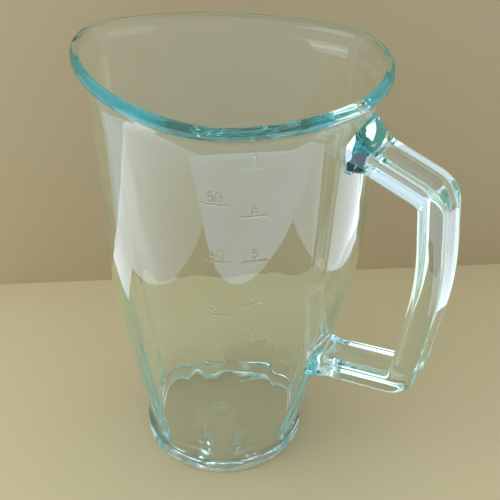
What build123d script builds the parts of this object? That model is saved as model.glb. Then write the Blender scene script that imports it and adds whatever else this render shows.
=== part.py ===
"""Glass mixer jug: fluted foot, three-cornered mouth with a pouring corner, side handle, two scales.

Millimetres, +Z up. The origin is the centre of the base ring's underside, the handle is on +X and
the pouring corner on -X. The real jug is one pressed casting: the nodes meet face to face.
"""
import os
from math import cos, pi, radians, sin, sqrt, tan

from build123d import *

os.makedirs("parts", exist_ok=True)

# ---- driving dimensions ---------------------------------------------------------------------
jug_height = 216.0        # table to the top of the rim
foot_radius = 41.2        # outer wall just above the base ring
shoulder_radius = 65.6    # mean outer radius of the wall under the rim
wall = 4.6                # glass thickness of the vessel

ring_step = 2.0           # how far the thick base ring stands out past the foot
ring_height = 8.0
ring_edge = 1.6           # rounding of the ring's outer edges

rim_height = 9.0          # height of the rolled rim
rim_roll = 4.2            # how far the rim stands out past the wall

flute_count = 8
flute_turn = radians(33)  # direction of the first corner between two panels
flute_depth = 3.0         # how deep the flat panels press into the foot
flute_edge = 0.22         # softness where a flat panel bends into the next corner

hand_gap = 38.0           # wall at the upper arm to the middle of the grip
grip_depth = 12.2         # grip section, radially
grip_width = 19.6         # grip section, across
grip_corner = 3.2
pad_gap = 0.6             # rim down to the upper pad's oval
arm_fall = 11.5           # how far the upper arm slopes down on its way out
lower_arm_height = 75.0   # base up to the middle of the lower arm at the wall
lower_arm_rise = 8.5      # how far the lower arm climbs on its way out
elbow_radius = 8.5
grip_bow = 3.2            # how far the grip's upper end sits inside its widest point
grip_lean = 8.5           # the same for its lower end
grip_arc = 0.43           # share of the grip's upper stretch that its bow's arc takes up
upper_pad_size = (27.0, 26.0)   # oval where the upper arm meets the wall: height, width
lower_pad_size = (21.0, 25.0)
pad_length = 7.5          # wall to the arm's own section

cup_volume = 236.6        # millilitres
ounce_volume = 29.57
scale_middle = radians(-47)     # direction of the panel that carries both scales
scale_spread = 7.6        # panel middle to the middle of each column
mark_length = 11.0
mark_line = 0.7
mark_relief = 0.45        # how far the marks stand out from the wall
numeral_height = 4.2
numeral_width = 2.1
numeral_pitch = 3.1       # one digit of a numeral to the next
numeral_line = 0.45
numeral_lift = 3.8        # line up to the numeral's middle
clear_top = 9.0           # wall left free of lines under the rim

# ---- the jug's outline ----------------------------------------------------------------------
# An outline is given by its support function, the distance of its tangent from the axis for
# each direction of the normal, so that a wall of even thickness is the same function less the
# wall. The mouth's is a circle plus harmonics: moved toward the handle, drawn out along X, and
# pulled to three corners, of which the one on -X pours.
mouth_harmonics = (0.0, 0.124, 0.097, -0.072, 0.008, 0.010)

# height share, flare share (foot to shoulder), mouth shape share, flute share
stations = (
    (0.000, 0.00, 0.06, 1.00),
    (0.045, 0.02, 0.10, 1.00),
    (0.120, 0.15, 0.20, 0.92),
    (0.250, 0.41, 0.36, 0.72),
    (0.400, 0.67, 0.58, 0.42),
    (0.550, 0.83, 0.80, 0.18),
    (0.700, 0.91, 0.93, 0.05),
    (0.850, 0.96, 1.00, 0.00),
    (1.000, 1.00, 1.00, 0.00),
)
outline_points = 96


def support(normal, radius, shape):
    """Tangent distance and its slope for one direction of the normal."""
    reach = radius
    slope = 0.0
    for k, share in enumerate(mouth_harmonics):
        reach += radius * shape * share * cos(k * normal)
        slope -= radius * shape * share * k * sin(k * normal)
    return reach, slope


def flute(normal):
    """0 at a corner between two panels, 1 at a panel's middle."""
    wave = cos(flute_count * (normal - flute_turn) / 2)
    open_share = (sqrt(wave * wave + flute_edge**2) - flute_edge) / (sqrt(1 + flute_edge**2) - flute_edge)
    return 1 - open_share


def outline(radius, shape, inset=0.0, flutes=0.0):
    """Points of a closed outline, moved inward by inset and pressed in at the panels' middles."""
    points = []
    for i in range(outline_points):
        normal = 2 * pi * i / outline_points
        reach, slope = support(normal, radius, shape)
        reach -= inset + flutes * flute(normal)
        points.append((reach * cos(normal) - slope * sin(normal), reach * sin(normal) + slope * cos(normal)))
    return points


def outline_area(radius, shape, inset):
    """Area inside an outline, from its support function."""
    area = pi * (radius - inset) ** 2
    for k, share in enumerate(mouth_harmonics):
        area += pi / 2 * (1 - k * k) * (radius * shape * share) ** 2
    return area


def wall_radius(flare):
    return foot_radius + (shoulder_radius - foot_radius) * flare


def section(height, radius, shape, inset, flutes=0.0):
    """One horizontal section of the jug, for a loft."""
    with BuildSketch(Plane.XY.offset(height)) as face:
        with BuildLine():
            Spline(*outline(radius, shape, inset, flutes), periodic=True)
        make_face()
    return face.sketch


rim_base = jug_height - rim_height


def shell_loft(inset, flute_share):
    """The jug's body from the table to under the rim, inset from its outer surface."""
    return [
        section(rim_base * up, wall_radius(flare), shape, inset, flute_depth * fluted * flute_share)
        for up, flare, shape, fluted in stations
    ]


outer_flutes = 0.45       # share of the flutes' depth that also shows on the outside
inner_flutes = 1.0
ring_radius = foot_radius + ring_step

with BuildPart() as body_block:
    loft(shell_loft(0, outer_flutes))

with BuildPart() as cavity:
    loft(shell_loft(wall, inner_flutes))

# ---- vessel: the fluted wall ----------------------------------------------------------------
with BuildPart() as jug_body:
    add(body_block.part)
    add(cavity.part, mode=Mode.SUBTRACT)
    Cylinder(2 * ring_radius, ring_height, align=(Align.CENTER, Align.CENTER, Align.MIN), mode=Mode.SUBTRACT)
jug_body.part.label = "jug_body"
export_step(jug_body.part, "parts/jug_body.step")

# ---- base ring: a thick plain ring under the fluted wall, open through its middle -----------
with BuildPart() as foot_ring:
    Cylinder(ring_radius, ring_height, align=(Align.CENTER, Align.CENTER, Align.MIN))
    fillet(foot_ring.edges().filter_by(GeomType.CIRCLE), ring_edge)
    add(cavity.part, mode=Mode.SUBTRACT)
foot_ring.part.label = "foot_ring"
export_step(foot_ring.part, "parts/foot_ring.step")

# ---- rim: the rolled edge of the mouth ------------------------------------------------------
# height share, how far the outside and the inside stand out, as shares of rim_roll
rim_stations = (
    (0.00, 0.00, 0.00),
    (0.22, 0.38, 0.12),
    (0.48, 0.86, 0.42),
    (0.72, 1.00, 0.72),
    (0.90, 0.90, 0.98),
    (1.00, 0.62, 1.22),
)


def rim_section(share, inset):
    return section(rim_base + rim_height * share, shoulder_radius, 1.0, inset)


with BuildPart() as rim:
    loft([rim_section(up, -rim_roll * outside) for up, outside, inside in rim_stations])
    loft([rim_section(up, wall - rim_roll * inside) for up, outside, inside in rim_stations], mode=Mode.SUBTRACT)
rim.part.label = "rim"
export_step(rim.part, "parts/rim.step")


# ---- handle ---------------------------------------------------------------------------------
def between_stations(height, column):
    """One column of the stations at a height, straight between its neighbours."""
    up = height / rim_base
    for low, high in zip(stations, stations[1:]):
        if up <= high[0]:
            break
    along = (up - low[0]) / (high[0] - low[0])
    return low[column] + (high[column] - low[column]) * along


def wall_x(height):
    """Where the wall's outside is on +X at a height."""
    reach, _ = support(0, wall_radius(between_stations(height, 1)), between_stations(height, 2))
    return reach


upper_z = rim_base - pad_gap - upper_pad_size[0] / 2
lower_z = lower_arm_height
upper_root = Vector(wall_x(upper_z), 0, upper_z)
lower_root = Vector(wall_x(lower_z), 0, lower_z)
handle_reach = upper_root.X + hand_gap
upper_elbow = Vector(handle_reach - grip_bow, 0, upper_z - arm_fall)
lower_elbow = Vector(handle_reach - grip_lean, 0, lower_z + lower_arm_rise)
grip_middle = Vector(handle_reach, 0, lower_elbow.Z + 0.6 * (upper_elbow.Z - lower_elbow.Z))
upper_start = upper_root + (upper_elbow - upper_root).normalized() * pad_length
lower_start = lower_root + (lower_elbow - lower_root).normalized() * pad_length
upper_stretch, lower_stretch = grip_middle - upper_elbow, lower_elbow - grip_middle
grip_bend = grip_arc * upper_stretch.length / tan(radians(upper_stretch.get_angle(lower_stretch)) / 2)


def arm_plane(start, elbow):
    """The section plane where an arm leaves its pad, facing along the arm."""
    return Plane(origin=start, x_dir=(0, 1, 0), z_dir=(elbow - start).normalized())


with BuildPart() as handle:
    with BuildLine() as handle_line:
        FilletPolyline(
            upper_start, upper_elbow, grip_middle, lower_elbow, lower_start,
            radius=[elbow_radius, grip_bend, elbow_radius],
        )
    with BuildSketch(arm_plane(upper_start, upper_elbow)):
        RectangleRounded(grip_width, grip_depth, grip_corner)
    sweep()
handle.part.label = "handle"
export_step(handle.part, "parts/handle.step")


# ---- handle pads: where the arms spread into ovals fused to the wall -------------------------
def pad(root, start, elbow, size, name):
    """A root that narrows from an oval on the wall to the arm's own section."""
    with BuildPart() as block:
        with BuildSketch(Plane(origin=root - Vector(wall / 2, 0, 0), x_dir=(0, 1, 0), z_dir=(1, 0, 0))):
            Ellipse(size[1] / 2, size[0] / 2)
        with BuildSketch(arm_plane(start, elbow)):
            RectangleRounded(grip_width, grip_depth, grip_corner)
        loft()
        add(body_block.part, mode=Mode.SUBTRACT)
    block.part.label = name
    export_step(block.part, f"parts/{name}.step")
    return block.part


upper_pad = pad(upper_root, upper_start, upper_elbow, upper_pad_size, "upper_handle_pad")
lower_pad = pad(lower_root, lower_start, lower_elbow, lower_pad_size, "lower_handle_pad")


# ---- scales: raised lines and numerals on the front panel ------------------------------------
def fill_height(volume):
    """Height to which a volume in millilitres fills the jug, closed at the table."""
    level = 0.0
    filled = 0.0
    step = 0.5
    while filled < volume * 1000:
        radius = wall_radius(between_stations(level, 1))
        inset = wall + flute_depth * between_stations(level, 3) * mean_flute
        filled += outline_area(radius, between_stations(level, 2), inset) * step
        level += step
    return level


mean_flute = sum(flute(2 * pi * i / outline_points) for i in range(outline_points)) / outline_points
outward = Vector(cos(scale_middle), sin(scale_middle), 0)
sideways = Vector(-sin(scale_middle), cos(scale_middle), 0)


def on_wall(side, level):
    """The wall's outer point and normal, a distance sideways from the panel's middle."""
    ray = Axis(sideways * side + Vector(0, 0, level), outward)
    hits = body_block.part.find_intersection_points(ray)
    return max(hits, key=lambda hit: hit[0].dot(outward))


def raised_line(side, level):
    """A short bar that follows the wall at one height."""
    ends = [on_wall(side + step, level + mark_line)[0] for step in (-mark_length / 2, 0, mark_length / 2)]
    feet = [Vector(end.X, end.Y, level) for end in ends]
    tops = [foot + outward * mark_relief for foot in feet]
    with BuildPart() as bar:
        with BuildSketch(Plane.XY.offset(level)):
            with BuildLine():
                ThreePointArc(*feet)
                Line(feet[2], tops[2])
                ThreePointArc(*tops[::-1])
                Line(tops[0], feet[0])
            make_face()
        extrude(amount=mark_line)
    return bar.part.solids()


# The digits' strokes, in shares of a digit's width and height.
digit_strokes = {
    "0": [((0.3, 0), (0.7, 0), (1, 0.15), (1, 0.85), (0.7, 1), (0.3, 1), (0, 0.85), (0, 0.15), (0.3, 0))],
    "1": [((0.2, 0.8), (0.6, 1), (0.6, 0))],
    "2": [((0, 0.82), (0.3, 1), (0.7, 1), (1, 0.85), (1, 0.62), (0, 0), (1, 0))],
    "3": [((0, 0.87), (0.3, 1), (0.7, 1), (1, 0.87), (1, 0.65), (0.6, 0.53), (1, 0.4), (1, 0.13),
           (0.7, 0), (0.3, 0), (0, 0.13))],
    "4": [((0.55, 1), (0, 0.3), (1, 0.3)), ((0.72, 0.6), (0.72, 0))],
    "5": [((0.95, 1), (0.1, 1), (0.05, 0.6), (0.7, 0.62), (1, 0.48), (1, 0.15), (0.7, 0), (0.3, 0),
           (0, 0.13))],
    "6": [((0.85, 1), (0.3, 0.8), (0, 0.5), (0, 0.15), (0.3, 0), (0.7, 0), (1, 0.15), (1, 0.4),
           (0.7, 0.53), (0.35, 0.53))],
    "7": [((0, 1), (1, 1), (0.4, 0))],
    "8": [((0.3, 0.53), (0.7, 0.53), (1, 0.4), (1, 0.13), (0.7, 0), (0.3, 0), (0, 0.13), (0, 0.4),
           (0.3, 0.53)),
          ((0.3, 0.53), (0.05, 0.65), (0.05, 0.87), (0.3, 1), (0.7, 1), (0.95, 0.87), (0.95, 0.65),
           (0.7, 0.53))],
    "9": [((0.15, 0), (0.7, 0.2), (1, 0.5), (1, 0.85), (0.7, 1), (0.3, 1), (0, 0.85), (0, 0.6),
           (0.3, 0.47), (0.65, 0.47))],
}


def raised_numeral(side, level, numeral):
    """A numeral of plain strokes on the wall's tangent plane."""
    spot, normal = on_wall(side, level)
    tangent = Vector(0, 0, 1).cross(normal).normalized()
    digits = str(numeral)
    solids = []
    for place, digit in enumerate(digits):
        left = (place - (len(digits) - 1) / 2) * numeral_pitch - numeral_width / 2
        with BuildPart() as figure:
            with BuildSketch(Plane(origin=spot, x_dir=tangent, z_dir=normal)):
                for stroke in digit_strokes[digit]:
                    with BuildLine():
                        Polyline(*[(left + x * numeral_width, (y - 0.5) * numeral_height) for x, y in stroke])
                    trace(line_width=numeral_line)
            extrude(amount=mark_relief)
        solids += figure.part.solids()
    return solids


def scale(side, volume, numerals, name):
    """A column of raised lines, each with its numeral above it."""
    marks = []
    for numeral in numerals:
        level = fill_height(numeral * volume)
        marks += raised_line(side, level)
        marks += raised_numeral(side, level + numeral_lift, numeral)
    column = Compound(marks)
    column.label = name
    export_step(column, f"parts/{name}.step")


def highest_mark(volume):
    """The last numeral of a scale of this volume a step that leaves the top of the wall clear."""
    numeral = 0
    while fill_height((numeral + 1) * volume) <= rim_base - clear_top:
        numeral += 1
    return numeral


ounce_step = 10
cup_numerals = range(1, highest_mark(cup_volume) + 1)
ounce_numerals = range(ounce_step, highest_mark(ounce_volume) + 1, ounce_step)
scale(scale_spread, cup_volume, cup_numerals, "cup_scale")
scale(-scale_spread, ounce_volume, ounce_numerals, "ounce_scale")
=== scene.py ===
from math import atan2, cos, pi, radians, sin, sqrt

import bmesh
import bpy
from mathutils import Matrix, Vector


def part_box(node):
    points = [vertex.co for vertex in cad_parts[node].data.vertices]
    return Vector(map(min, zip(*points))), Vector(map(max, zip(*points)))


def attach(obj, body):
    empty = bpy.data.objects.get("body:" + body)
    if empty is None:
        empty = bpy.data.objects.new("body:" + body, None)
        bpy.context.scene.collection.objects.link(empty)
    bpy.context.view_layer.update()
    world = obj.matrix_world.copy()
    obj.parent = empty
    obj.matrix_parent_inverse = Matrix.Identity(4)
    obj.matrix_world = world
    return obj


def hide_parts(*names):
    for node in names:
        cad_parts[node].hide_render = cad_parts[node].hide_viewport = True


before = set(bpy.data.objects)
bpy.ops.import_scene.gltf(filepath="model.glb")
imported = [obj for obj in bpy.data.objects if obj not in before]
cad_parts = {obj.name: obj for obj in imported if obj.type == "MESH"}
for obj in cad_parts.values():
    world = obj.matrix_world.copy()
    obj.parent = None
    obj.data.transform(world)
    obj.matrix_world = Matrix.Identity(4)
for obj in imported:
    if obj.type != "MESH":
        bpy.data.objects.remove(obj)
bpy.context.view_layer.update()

# ---- vessel ----------------------------------------------------------------------------------
# The fluted wall, the rolled rim and the thick open base ring of the jug. The real ones are one
# pressed casting of green-tinted clear glass, so they are one closed skin here: a torus whose
# rings run up the inside, over the rim, down the outside and back under the base ring.
_, ring_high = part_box("foot_ring")
rim_low, rim_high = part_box("rim")
ring_radius = ring_high.x
ring_top = ring_high.z
rim_base = rim_low.z
rim_top = rim_high.z
foot_radius = 0.0412
shoulder_radius = 0.0656
wall = 0.0046
rim_roll = 0.0042
flute_count = 8
flute_turn = radians(33)
flute_depth = 0.0030
outer_flutes = 0.45       # share of the flutes' depth that shows outside
inner_flutes = 1.0
outer_edge = 0.10         # softness of the creases between panels, crisp outside and soft inside
inner_edge = 0.45
outer_narrowing = 3.0     # power that narrows those creases
inner_narrowing = 1.0
inner_bevel = 0.0008      # bevel where the inside meets the table
seam_gap = 0.0006         # the wall's last ring stops this far above the base ring
ring_edge = 0.0016        # radius of the base ring's two outer edges
mouth_harmonics = (0.0, 0.124, 0.097, -0.072, 0.008, 0.010)

# height share, flare share from foot to shoulder, share of the mouth's shape, share of the flutes
stations = (
    (0.000, 0.00, 0.06, 1.00),
    (0.045, 0.02, 0.10, 1.00),
    (0.120, 0.15, 0.20, 0.92),
    (0.250, 0.41, 0.36, 0.72),
    (0.400, 0.67, 0.58, 0.42),
    (0.550, 0.83, 0.80, 0.18),
    (0.700, 0.91, 0.93, 0.05),
    (0.850, 0.96, 1.00, 0.00),
    (1.000, 1.00, 1.00, 0.00),
)

# height share, then how far the outside and the inside stand out, as shares of rim_roll
rim_stations = (
    (0.00, 0.00, 0.00),
    (0.22, 0.38, 0.12),
    (0.48, 0.86, 0.42),
    (0.72, 1.00, 0.72),
    (0.90, 0.90, 0.98),
    (1.00, 0.62, 1.22),
)


def between(table, up):
    """A table's row at a share of its height, on a smooth curve through its rows."""
    last = len(table) - 2
    k = max(i for i in range(last + 1) if table[i][0] <= up or i == 0)
    before, low, high, after = table[max(k - 1, 0)], table[k], table[k + 1], table[min(k + 2, last + 1)]
    t = (up - low[0]) / (high[0] - low[0])
    row = []
    for a, b, c, d in zip(before, low, high, after):
        gap = high[0] - low[0]
        rise_low = (c - a) / (high[0] - before[0]) * gap
        rise_high = (d - b) / (after[0] - low[0]) * gap
        row.append(
            (2 * t**3 - 3 * t**2 + 1) * b + (t**3 - 2 * t**2 + t) * rise_low
            + (3 * t**2 - 2 * t**3) * c + (t**3 - t**2) * rise_high
        )
    return row


def outline_point(turn, radius, shape, inset, flutes):
    """A point of a level outline, for one direction of its normal."""
    wave = cos(flute_count * (turn - flute_turn) / 2)
    edge, narrowing = (inner_edge, inner_narrowing) if inset > 0 else (outer_edge, outer_narrowing)
    open_share = (sqrt(wave * wave + edge**2) - edge) / (sqrt(1 + edge**2) - edge)
    reach = radius - inset - flutes * (1 - open_share) ** narrowing
    slope = 0.0
    for k, share in enumerate(mouth_harmonics):
        reach += radius * shape * share * cos(k * turn)
        slope -= radius * shape * share * k * sin(k * turn)
    return reach * cos(turn) - slope * sin(turn), reach * sin(turn) + slope * cos(turn)


def wall_ring(height, inset, flute_share):
    """Height, radius, shape, inset and flute depth of one ring of the wall."""
    _, flare, shape, fluted = between(stations, height / rim_base)
    radius = foot_radius + (shoulder_radius - foot_radius) * flare
    return height, radius, shape, inset, flute_depth * fluted * flute_share


wall_rings = 40
rim_rings = 14
edge_rings = 6
rings = []
for i in range(wall_rings):
    rings.append(wall_ring(inner_bevel + (rim_base - inner_bevel) * i / wall_rings, wall, inner_flutes))
for i in range(rim_rings):
    up, _, inside = between(rim_stations, i / (rim_rings - 1))
    rings.append((rim_base + (rim_top - rim_base) * up, shoulder_radius, 1.0, wall - rim_roll * inside, 0.0))
for i in reversed(range(rim_rings)):
    up, outside, _ = between(rim_stations, i / (rim_rings - 1))
    rings.append((rim_base + (rim_top - rim_base) * up, shoulder_radius, 1.0, -rim_roll * outside, 0.0))
for i in range(1, wall_rings + 1):
    down = (rim_base - ring_top - seam_gap) * i / wall_rings
    rings.append(wall_ring(rim_base - down, 0.0, outer_flutes))
for step in range(edge_rings):
    bend = radians(90 * step / (edge_rings - 1))
    rings.append((ring_top - ring_edge * (1 - cos(bend)), ring_radius - ring_edge * (1 - sin(bend)), 0, 0, 0))
for step in range(edge_rings):
    bend = radians(90 * step / (edge_rings - 1))
    rings.append((ring_edge * (1 - sin(bend)), ring_radius - ring_edge * (1 - cos(bend)), 0, 0, 0))
rings.append((0.0, foot_radius, stations[0][2] / 2, (wall + inner_bevel) / 2, flute_depth / 2))
rings.append((0.0, foot_radius, stations[0][2], wall - inner_bevel, flute_depth))

bpy.ops.object.select_all(action="DESELECT")
around = 192
bpy.ops.mesh.primitive_torus_add(
    major_segments=around, minor_segments=len(rings), major_radius=0.06, minor_radius=0.01
)
vessel = bpy.context.object
vessel.name = "jug_glass"
for place, vertex in enumerate(vessel.data.vertices):
    column, row = divmod(place, len(rings))
    height, radius, shape, inset, flutes = rings[row]
    vertex.co = (*outline_point(2 * pi * column / around, radius, shape, inset, flutes), height)
bpy.ops.object.mode_set(mode="EDIT")
bpy.ops.mesh.select_all(action="SELECT")
bpy.ops.mesh.normals_make_consistent(inside=False)
bpy.ops.object.mode_set(mode="OBJECT")

# ---- handle ----------------------------------------------------------------------------------
# A solid glass bar of rounded-rectangle section, bowed at the grip, whose two arms spread into
# oval roots on the wall. It is pressed with the jug, so it is joined into the vessel's skin.
grip_depth = 0.0122
grip_width = 0.0196
grip_corner = 0.0032
elbow_radius = 0.0085
bow_radius = 0.150        # of the grip's own bend
bow_height = 0.6          # share of the way from the lower elbow to the upper
handle_reach = 0.114
upper_set_back = 0.0032   # elbows, in from the grip's outermost point
lower_set_back = 0.0085
upper_elbow_height = 0.1814
lower_elbow_height = 0.0835
upper_root = Vector((0.0760, 0, 0.1929))
upper_elbow = Vector((handle_reach - upper_set_back, 0, upper_elbow_height))
lower_root = Vector((0.0603, 0, 0.075))
lower_elbow = Vector((handle_reach - lower_set_back, 0, lower_elbow_height))
bow_rise = bow_height * (upper_elbow_height - lower_elbow_height)
grip_middle = Vector((handle_reach, 0, lower_elbow_height + bow_rise))
oval_sizes = ((0.027, 0.026), (0.021, 0.025))   # height and width at the upper and lower wall
pad_length = 0.0090       # over which the arms spread into the ovals
pad_fade = 2.2            # power of that spread
pad_rounding = 1.3        # how soon the section turns oval
path_spacing = 0.0022


def rounded_path(points, radii, spacing):
    """Points along straight runs joined by tangent arcs, each with the direction there."""
    path = []
    start = points[0]
    for before, corner, after, radius in zip(points, points[1:], points[2:], radii):
        into = (corner - before).normalized()
        out = (after - corner).normalized()
        turn = into.angle(out)
        cut = radius * (1 - cos(turn)) / sin(turn)
        end = corner - into * cut
        steps = max(2, round((end - start).length / spacing))
        path += [(start.lerp(end, i / steps), into) for i in range(steps)]
        side = (out - into * into.dot(out)).normalized()
        arc_steps = max(3, round(radius * turn / spacing * 1.6))
        for i in range(arc_steps):
            angle = turn * i / arc_steps
            path.append((end + into * radius * sin(angle) + side * radius * (1 - cos(angle)),
                         into * cos(angle) + side * sin(angle)))
        start = corner + out * cut
    out = (points[-1] - start).normalized()
    steps = max(2, round((points[-1] - start).length / spacing))
    path += [(start.lerp(points[-1], i / steps), out) for i in range(steps + 1)]
    return path


sunk = 0.0026             # how far the roots reach into the wall's thickness
handle_path = rounded_path(
    [
        upper_root - (upper_elbow - upper_root).normalized() * sunk, upper_elbow, grip_middle,
        lower_elbow, lower_root - (lower_elbow - lower_root).normalized() * sunk,
    ],
    [elbow_radius, bow_radius, elbow_radius],
    path_spacing,
)


def bar_point(angle, width, depth, corner):
    """A point of a rounded rectangle, for an angle round it."""
    across, up = cos(angle), sin(angle)
    flat_x, flat_y = width / 2 - corner, depth / 2 - corner
    x = max(-flat_x, min(flat_x, across * width))
    y = max(-flat_y, min(flat_y, up * width))
    reach = Vector((across * width - x, up * width - y))
    reach = reach.normalized() * corner if reach.length else Vector((0, 0))
    return x + reach.x, y + reach.y


around_bar = 64
bpy.ops.object.select_all(action="DESELECT")
bpy.ops.mesh.primitive_circle_add(vertices=around_bar, radius=0.01, fill_type="NGON")
bar = bpy.context.object
bar.name = "handle_glass"
bpy.ops.object.mode_set(mode="EDIT")
bpy.ops.mesh.select_all(action="SELECT")
shape = bmesh.from_edit_mesh(bar.data)
turn_layer = shape.verts.layers.float.new("turn")
for vertex in shape.verts:
    vertex[turn_layer] = atan2(vertex.co.y, vertex.co.x)
for place, (point, heading) in enumerate(handle_path):
    if place:
        bpy.ops.mesh.extrude_region_move()
        shape = bmesh.from_edit_mesh(bar.data)
        turn_layer = shape.verts.layers.float["turn"]
    start_gap = (point - handle_path[0][0]).length - sunk
    end_gap = (point - handle_path[-1][0]).length - sunk
    near, size = (start_gap, oval_sizes[0]) if start_gap < end_gap else (end_gap, oval_sizes[1])
    spread = max(0.0, 1 - max(near, 0) / pad_length) ** pad_fade
    depth = grip_depth + (size[0] - grip_depth) * spread
    width = grip_width + (size[1] - grip_width) * spread
    corner = grip_corner + (min(depth, width) / 2 - grip_corner) * min(1, pad_rounding * spread)
    upward = Vector((0, 1, 0)).cross(heading)
    for vertex in shape.verts:
        if vertex.select:
            across, up = bar_point(vertex[turn_layer], width, depth, corner)
            vertex.co = point + Vector((0, across, 0)) + upward * up
bmesh.update_edit_mesh(bar.data)
bpy.ops.mesh.select_all(action="SELECT")
bpy.ops.mesh.normals_make_consistent(inside=False)
bpy.ops.object.mode_set(mode="OBJECT")

bpy.ops.object.select_all(action="DESELECT")
vessel.select_set(True)
bpy.context.view_layer.objects.active = vessel
join = vessel.modifiers.new("join", "BOOLEAN")
join.operation = "UNION"
join.solver = "EXACT"
join.object = bar
bpy.ops.object.modifier_apply(modifier="join")
bpy.data.objects.remove(bar)
bpy.ops.object.shade_smooth_by_angle(angle=radians(40))


class Socket:
    """A shader socket that takes arithmetic, each step a Math node."""

    def __init__(self, tree, link):
        self.tree = tree
        self.link = link

    def join(self, operation, *values):
        return node(self.tree, "ShaderNodeMath", {"operation": operation}, dict(enumerate(values)))

    def __mul__(self, other):
        return self.join("MULTIPLY", self, other)

    __rmul__ = __mul__


def node(tree, kind, settings=None, values=None, output=0):
    """Adds a node with its settings, then its sockets' values or links, and returns an output."""
    new = tree.nodes.new(kind)
    for name, value in (settings or {}).items():
        setattr(new, name, value)
    for name, value in (values or {}).items():
        if isinstance(value, Socket):
            tree.links.new(value.link, new.inputs[name])
        else:
            new.inputs[name].default_value = value
    return Socket(tree, new.outputs[output]) if len(new.outputs) else new


glass = bpy.data.materials.new("green_tinted_glass")
glass.use_nodes = True
tree = glass.node_tree
tree.nodes.clear()
place = node(tree, "ShaderNodeTexCoord", output="Object")
ripple = node(tree, "ShaderNodeTexNoise", values={
    "Vector": place, "Scale": 34.0, "Detail": 1.0, "Roughness": 0.4,
})
smears = node(tree, "ShaderNodeTexNoise", values={
    "Vector": place, "Scale": 90.0, "Detail": 4.0, "Roughness": 0.6,
})
surface = node(tree, "ShaderNodeBsdfPrincipled", values={
    "Base Color": (0.97, 1.0, 0.985, 1), "IOR": 1.52, "Transmission Weight": 1.0,
    "Roughness": smears * 0.012,
    "Normal": node(tree, "ShaderNodeBump", values={"Height": ripple, "Strength": 0.12, "Distance": 0.002}),
})
tint = node(tree, "ShaderNodeVolumeAbsorption", values={"Color": (0.10, 0.80, 0.82, 1), "Density": 7.0})
node(tree, "ShaderNodeOutputMaterial", values={"Surface": surface, "Volume": tint})
vessel.data.materials.clear()
vessel.data.materials.append(glass)
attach(vessel, "root")
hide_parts("jug_body", "rim", "foot_ring", "handle", "upper_handle_pad", "lower_handle_pad")

# ---- scales ----------------------------------------------------------------------------------
# Raised lines and numerals on the front panel: cups on the side of the handle, ounces on the side
# of the pouring corner. They are cast with the wall, and a lower index here keeps them faint.
relief = bpy.data.materials.new("raised_glass")
relief.use_nodes = True
tree = relief.node_tree
tree.nodes.clear()
place = node(tree, "ShaderNodeTexCoord", output="Object")
grain = node(tree, "ShaderNodeTexNoise", values={"Vector": place, "Scale": 400.0, "Detail": 2.0})
surface = node(tree, "ShaderNodeBsdfPrincipled", values={
    "Base Color": (0.93, 0.97, 0.96, 1), "IOR": 1.15, "Transmission Weight": 1.0, "Roughness": grain * 0.1,
})
node(tree, "ShaderNodeOutputMaterial", values={"Surface": surface})
for name in ("cup_scale", "ounce_scale"):
    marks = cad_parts[name]
    marks.data.materials.clear()
    marks.data.materials.append(relief)

# ---- stage -----------------------------------------------------------------------------------
# A plain pale paper floor, with a wall of the same paper close behind the jug, darkened in colour
# as painted shade. The wall hides the jug from a low camera on its far side.
camera_turn = radians(37.38)
floor_place = (0, -0.035, -0.0002)
floor_size = (2.4, 0.35)
wall_place = (0.02, 0.138, 0.1498)
wall_size = (0.46, 0.3)
paper = bpy.data.materials.new("pale_paper")
paper.use_nodes = True
paper_shader = paper.node_tree.nodes["Principled BSDF"]
paper_shader.inputs["Base Color"].default_value = (0.66, 0.54, 0.31, 1)
paper_shader.inputs["Roughness"].default_value = 0.8

bpy.ops.object.select_all(action="DESELECT")
bpy.ops.mesh.primitive_plane_add(size=1)
floor = bpy.context.object
floor.name = "paper_floor"
floor.data.transform(
    Matrix.Rotation(camera_turn, 4, "Z") @ Matrix.Translation(floor_place)
    @ Matrix.Diagonal((*floor_size, 1, 1))
)
floor.data.materials.append(paper)
bpy.ops.mesh.primitive_plane_add(size=1)
backdrop = bpy.context.object
backdrop.name = "paper_wall"
backdrop.data.transform(
    Matrix.Rotation(camera_turn, 4, "Z") @ Matrix.Translation(wall_place)
    @ Matrix.Rotation(pi / 2, 4, "X") @ Matrix.Diagonal((*wall_size, 1, 1))
)
# The wall's paper is the floor's paper made darker: its colour is painted shade on the wall.
shaded_paper = paper.copy()
shaded_paper.name = "shaded_paper"
shaded_shader = shaded_paper.node_tree.nodes["Principled BSDF"]
shaded_shader.inputs["Base Color"].default_value = (0.50, 0.385, 0.215, 1)
backdrop.data.materials.append(shaded_paper)

# ---- light -----------------------------------------------------------------------------------
# Even cool light from all round, a soft box above and one at the left. Sky-blue cards lie level
# just over the floor, in front of the jug and at both sides. The camera and the paper don't see
# them: they show only where the glass mirrors them, and a paler one only through the glass.
world = bpy.context.scene.world or bpy.data.worlds.new("studio")
bpy.context.scene.world = world
world.use_nodes = True
world.node_tree.nodes["Background"].inputs["Color"].default_value = (0.82, 0.92, 1.0, 1)
world.node_tree.nodes["Background"].inputs["Strength"].default_value = 0.86


def soft_box(name, place, aim, width, height, colour, strength):
    """A rectangular light panel, facing the point it is aimed at; sizes and places face the camera."""
    light = bpy.data.lights.new(name, "AREA")
    light.shape = "RECTANGLE"
    light.size = width
    light.size_y = height
    light.color = colour
    light.energy = strength * width * height * pi
    panel = bpy.data.objects.new(name, light)
    bpy.context.scene.collection.objects.link(panel)
    place, aim = Vector(place), Vector(aim)
    panel.matrix_world = Matrix.Rotation(camera_turn, 4, "Z") @ Matrix.Translation(place) @ (
        (aim - place).to_track_quat("-Z", "Y").to_matrix().to_4x4()
    )
    return panel


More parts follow.
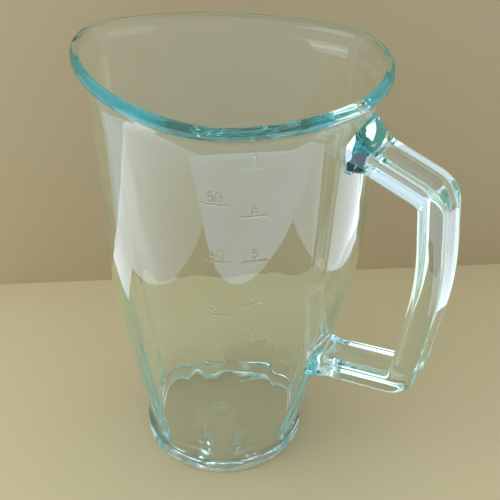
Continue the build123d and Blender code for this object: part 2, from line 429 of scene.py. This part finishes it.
def table_card(name, left, right, near, far, colour, strength, mirrored):
    """A bright card level with the floor, seen only mirrored in the glass or only through it."""
    card = soft_box(
        name, ((left + right) / 2, (near + far) / 2, 0.0005), ((left + right) / 2, (near + far) / 2, 1),
        right - left, far - near, colour, strength,
    )
    card.visible_camera = False
    card.visible_diffuse = False
    card.visible_glossy = mirrored
    card.visible_transmission = not mirrored


sky_blue = (0.60, 0.74, 1.0)
table_white = (0.80, 0.93, 1.0)
table_card("front_card", -1.20, 1.20, -2.00, -0.212, sky_blue, 2.6, True)
table_card("left_card", -1.20, -0.20, -0.212, 0.06, sky_blue, 1.7, True)
table_card("right_card", 0.20, 1.20, -0.212, 0.10, sky_blue, 2.4, True)
table_card("far_left_card", -0.80, -0.15, 0.06, 0.137, sky_blue, 1.8, True)
table_card("right_table", 0.20, 0.60, -0.10, 0.30, table_white, 0.85, False)
soft_box("overhead_box", (0.1, 0.1, 1.3), (0, 0, 0.1), 0.9, 0.5, (1.0, 0.98, 0.95), 0.9)
window = soft_box("window_box", (-0.75, -0.25, 0.45), (0, 0, 0.1), 0.5, 0.9, (0.80, 0.92, 1.0), 2.2)
window.visible_glossy = False
bpy.context.scene.view_settings.view_transform = "Standard"
glass_bounces = 128
bpy.context.scene.cycles.max_bounces = glass_bounces
bpy.context.scene.cycles.transmission_bounces = glass_bounces
bpy.context.scene.cycles.glossy_bounces = 64

# ---- camera ----------------------------------------------------------------------------------
camera_place = (0, -0.3533, 0.3508)
camera_pan = radians(-2.56)
camera_tilt = radians(90 - 33.89)
camera_roll = radians(-0.85)
camera = bpy.data.objects.new("camera", bpy.data.cameras.new("camera"))
bpy.context.scene.collection.objects.link(camera)
camera.data.sensor_width = 36
camera.data.lens = 61.2
camera.data.clip_start = 0.01
camera.matrix_world = (
    Matrix.Rotation(camera_turn, 4, "Z") @ Matrix.Translation(camera_place)
    @ Matrix.Rotation(camera_pan, 4, "Z") @ Matrix.Rotation(camera_tilt, 4, "X")
    @ Matrix.Rotation(camera_roll, 4, "Z")
)
bpy.context.scene.camera = camera
